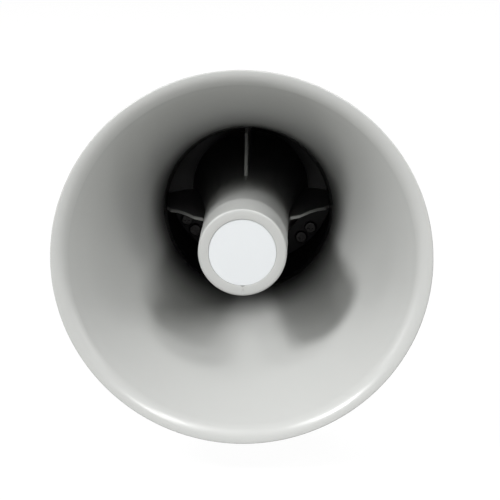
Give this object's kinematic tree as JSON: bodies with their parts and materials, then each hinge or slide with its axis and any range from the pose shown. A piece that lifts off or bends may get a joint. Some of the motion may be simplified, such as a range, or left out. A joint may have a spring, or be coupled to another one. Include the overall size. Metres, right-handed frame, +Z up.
{
  "type": "pa horn speaker",
  "caption": "Round re-entrant public-address horn speaker in grey plastic, with centre bell, sealed driver and transformer housing, cable gland and tilting U bracket.",
  "frame": {"origin": "middle of the bracket foot's underside, on the line between its two fixing holes", "axes": "+Z up, out of the surface that the bracket is fixed to; -Y is the way the mouth faces; +X to the right as seen from the front"},
  "size_m": [0.21, 0.3066, 0.23],
  "materials": {
    "grey_abs": "satin",
    "cap_abs": "satin",
    "white_label": "satin",
    "black_abs": "satin",
    "stainless": "satin",
    "zinc_steel": "satin",
    "laminations": "satin",
    "cast_aluminium": "matte",
    "ferrite": "matte",
    "brass": "satin",
    "copper_wire": "satin",
    "phenolic": "satin",
    "surround_cloth": "matte",
    "seal_rubber": "matte",
    "fibre": "matte",
    "winding_tape": "satin",
    "lead_insulation": "satin",
    "terminal_nylon": "satin",
    "gland_nylon": "matte"
  },
  "bodies": {
    "bracket": {"bracket": "stainless"},
    "horn": {"flare_horn": "grey_abs", "flare_gasket": "seal_rubber", "flare_screws": "stainless", "centre_bell": "grey_abs", "front_cap": "cap_abs", "cap_label": "white_label", "tone_tube": "black_abs", "throat_body": "grey_abs", "throat_screws": "stainless", "driver_screws": "stainless", "driver_gasket": "seal_rubber", "driver_cover": "cast_aluminium", "phase_plug": "black_abs", "surround": "surround_cloth", "clamp_ring": "black_abs", "plate_screws": "zinc_steel", "top_plate": "zinc_steel", "magnet_ring": "ferrite", "back_plate": "zinc_steel", "tab_bases": "fibre", "driver_tabs": "brass", "driver_leads": "lead_insulation", "transformer_leads": "lead_insulation", "rear_cover": "grey_abs", "cover_gasket": "seal_rubber", "cover_screws": "stainless", "transformer_core": "laminations", "transformer_coil": "winding_tape", "transformer_strap": "zinc_steel", "strap_screws": "zinc_steel", "terminal_block": "terminal_nylon", "terminal_screws": "brass", "gland_body": "gland_nylon", "gland_locknut": "gland_nylon", "gland_seal": "seal_rubber", "gland_nut": "gland_nylon", "pivot_inserts": "brass", "friction_washers": "fibre", "pivot_washers": "stainless", "pivot_bolts": "stainless"},
    "moving_coil": {"diaphragm": "phenolic", "voice_coil": "copper_wire"}
  },
  "joints": [
    {"name": "bracket_tilt", "type": "hinge", "parent": "bracket", "child": "horn", "pos_m": [0, 0, 0.125], "axis": [1, 0, 0], "range_deg": [-90, 50]},
    {"name": "diaphragm_travel", "type": "slide", "parent": "horn", "child": "moving_coil", "axis": [0, 1, 0], "range_m": [-0.0004, 0.0004], "stiffness_N_per_m": 4000, "deforming": ["surround"]}
  ]
}
